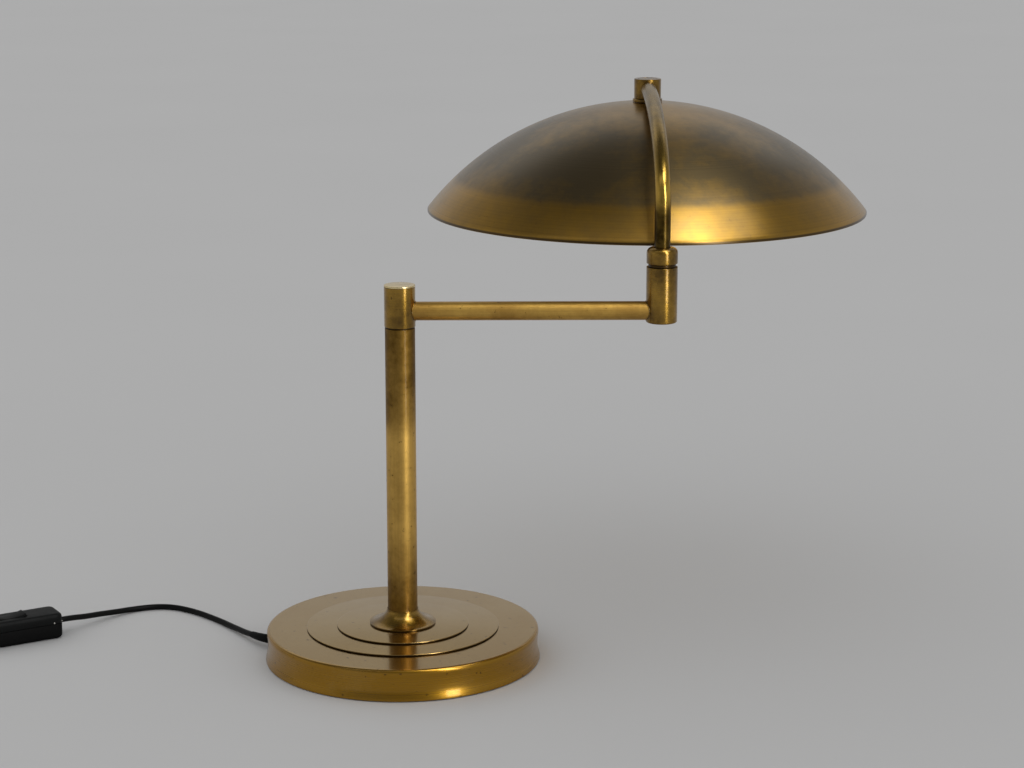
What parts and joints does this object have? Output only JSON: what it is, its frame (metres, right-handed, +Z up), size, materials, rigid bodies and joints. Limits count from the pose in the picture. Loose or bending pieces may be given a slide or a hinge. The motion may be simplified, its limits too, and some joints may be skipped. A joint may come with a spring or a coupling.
{
  "type": "swing arm desk lamp",
  "caption": "Brass desk lamp: weighted round base, upright stem, arm that swings on the stem, and a bent neck that swings on the arm's end and carries a wide shallow dome.",
  "frame": {"origin": "middle of the felt under the base, on the stem's axis", "axes": "+Z up along the stem, +X along the arm at rest, +Y from the arm's end to the middle of the shade at rest"},
  "size_m": [0.8906, 0.525, 0.4672],
  "materials": {
    "aged_brass": "polished long ago, now warm and patchy",
    "spun_brass": "spun sheet, satin to polished",
    "bronzed_brass": "spun sheet, darkened with age towards the top",
    "machined_brass": "turned",
    "zinc_plate": "zinc plated",
    "nickel_plate": "nickel plated",
    "cast_iron": "as cast",
    "fibre_board": "pressed fibre",
    "green_felt": "wool felt",
    "black_plastic": "moulded, fine satin",
    "black_cord": "extruded sheath, satin",
    "bakelite": "moulded phenolic",
    "opal_glass": "opal"
  },
  "bodies": {
    "base": {"base_shell": "spun_brass", "base_weight": "cast_iron", "backing_board": "fibre_board", "felt_pad": "green_felt", "outer_step_disc": "spun_brass", "inner_step_disc": "spun_brass", "stem_flange": "aged_brass", "tie_rod": "zinc_plate", "tie_rod_nut": "zinc_plate", "tie_rod_washer": "zinc_plate", "stem_tube": "aged_brass", "stem_pivot": "machined_brass", "arm_spring_washer": "zinc_plate", "arm_lock_nut": "zinc_plate", "cord_gland": "black_plastic", "gland_nut": "black_plastic", "cord_sleeve": "black_plastic", "cord_lamp_to_switch": "black_cord", "switch_lower_shell": "black_plastic", "switch_upper_shell": "black_plastic", "switch_contact_block": "bakelite", "cord_switch_to_coil": "black_cord", "cord_coil": "black_cord", "cord_coil_to_plug": "black_cord", "plug_strain_relief": "black_plastic", "plug_body": "black_plastic", "plug_pin_left": "nickel_plate", "plug_pin_right": "nickel_plate"},
    "arm": {"arm_knuckle": "aged_brass", "arm_knuckle_cap": "aged_brass", "arm_tube": "aged_brass", "end_knuckle": "aged_brass", "end_knuckle_cap": "aged_brass"},
    "neck": {"neck_bearing_washer": "machined_brass", "neck_collar": "aged_brass", "neck_spring_washer": "zinc_plate", "neck_lock_nut": "zinc_plate", "neck_tube": "aged_brass", "shade_knuckle": "aged_brass", "shade_knuckle_cap": "aged_brass", "nipple_top_nut": "zinc_plate", "shade_nipple": "zinc_plate", "shade_collar": "aged_brass", "shade_dome": "bronzed_brass", "shade_washer": "zinc_plate", "shade_lock_nut": "zinc_plate", "holder_hub": "machined_brass", "lamp_holder_left": "bakelite", "bulb_cap_left": "zinc_plate", "bulb_glass_left": "opal_glass", "lamp_holder_right": "bakelite", "bulb_cap_right": "zinc_plate", "bulb_glass_right": "opal_glass"},
    "rocker": {"switch_rocker": "black_plastic"}
  },
  "joints": [
    {"name": "arm_swing", "type": "hinge", "parent": "base", "child": "arm", "pos_m": [0, 0, 0.302], "axis": [0, 0, 1], "range_deg": [-165, 165]},
    {"name": "neck_swing", "type": "hinge", "parent": "arm", "child": "neck", "pos_m": [0.2155, 0, 0.333], "axis": [0, 0, 1], "range_deg": [-165, 165]},
    {"name": "rocker_tilt", "type": "hinge", "parent": "base", "child": "rocker", "pos_m": [-0.33867, 0.0416, 0.0195], "axis": [0.5, -0.866, 0], "range_deg": [-10, 0]}
  ]
}
